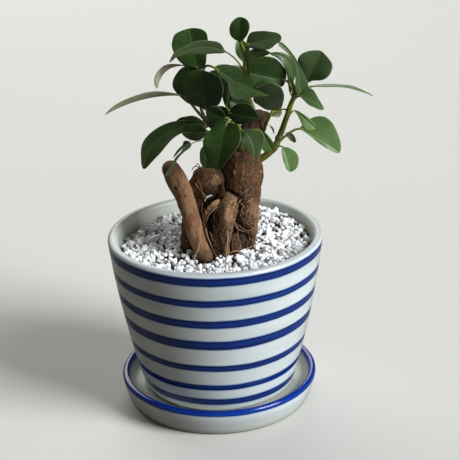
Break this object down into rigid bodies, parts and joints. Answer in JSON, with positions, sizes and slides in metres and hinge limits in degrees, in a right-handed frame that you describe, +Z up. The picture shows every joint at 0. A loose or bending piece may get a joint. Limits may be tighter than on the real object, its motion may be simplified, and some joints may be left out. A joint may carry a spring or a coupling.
{
  "type": "potted ginseng ficus",
  "caption": "Small ficus with a swollen root trunk and leafy shoots, in a striped glazed pot filled with white gravel, standing on a saucer.",
  "frame": {"origin": "middle of the saucer's flat underside, on the surface that the plant stands on", "axes": "+Z up along the pot's axis, -Y towards the viewer of the picture, +X to the viewer's right, where the long bare stem leans out"},
  "size_m": [0.1475, 0.12, 0.2212],
  "materials": {
    "striped_glaze": "glossy pale glaze with cobalt blue brush stripes",
    "saucer_glaze": "glossy pale glaze with a cobalt blue lip",
    "potting_soil": "matte, dark and crumbly",
    "gravel": "matte white chipped stone",
    "bark": "rough brown bark, smoother on the roots",
    "foliage": "waxy dark green leaves on green-brown stems"
  },
  "bodies": {
    "root": {"saucer": "saucer_glaze", "pot": "striped_glaze", "soil": "potting_soil", "white_gravel": "gravel", "trunk": "bark", "shoot_right": "foliage", "shoot_stump": "foliage", "shoot_centre": "foliage", "shoot_left": "foliage", "shoot_left_low": "foliage", "shoot_front": "foliage", "shoot_back": "foliage"}
  },
  "joints": []
}
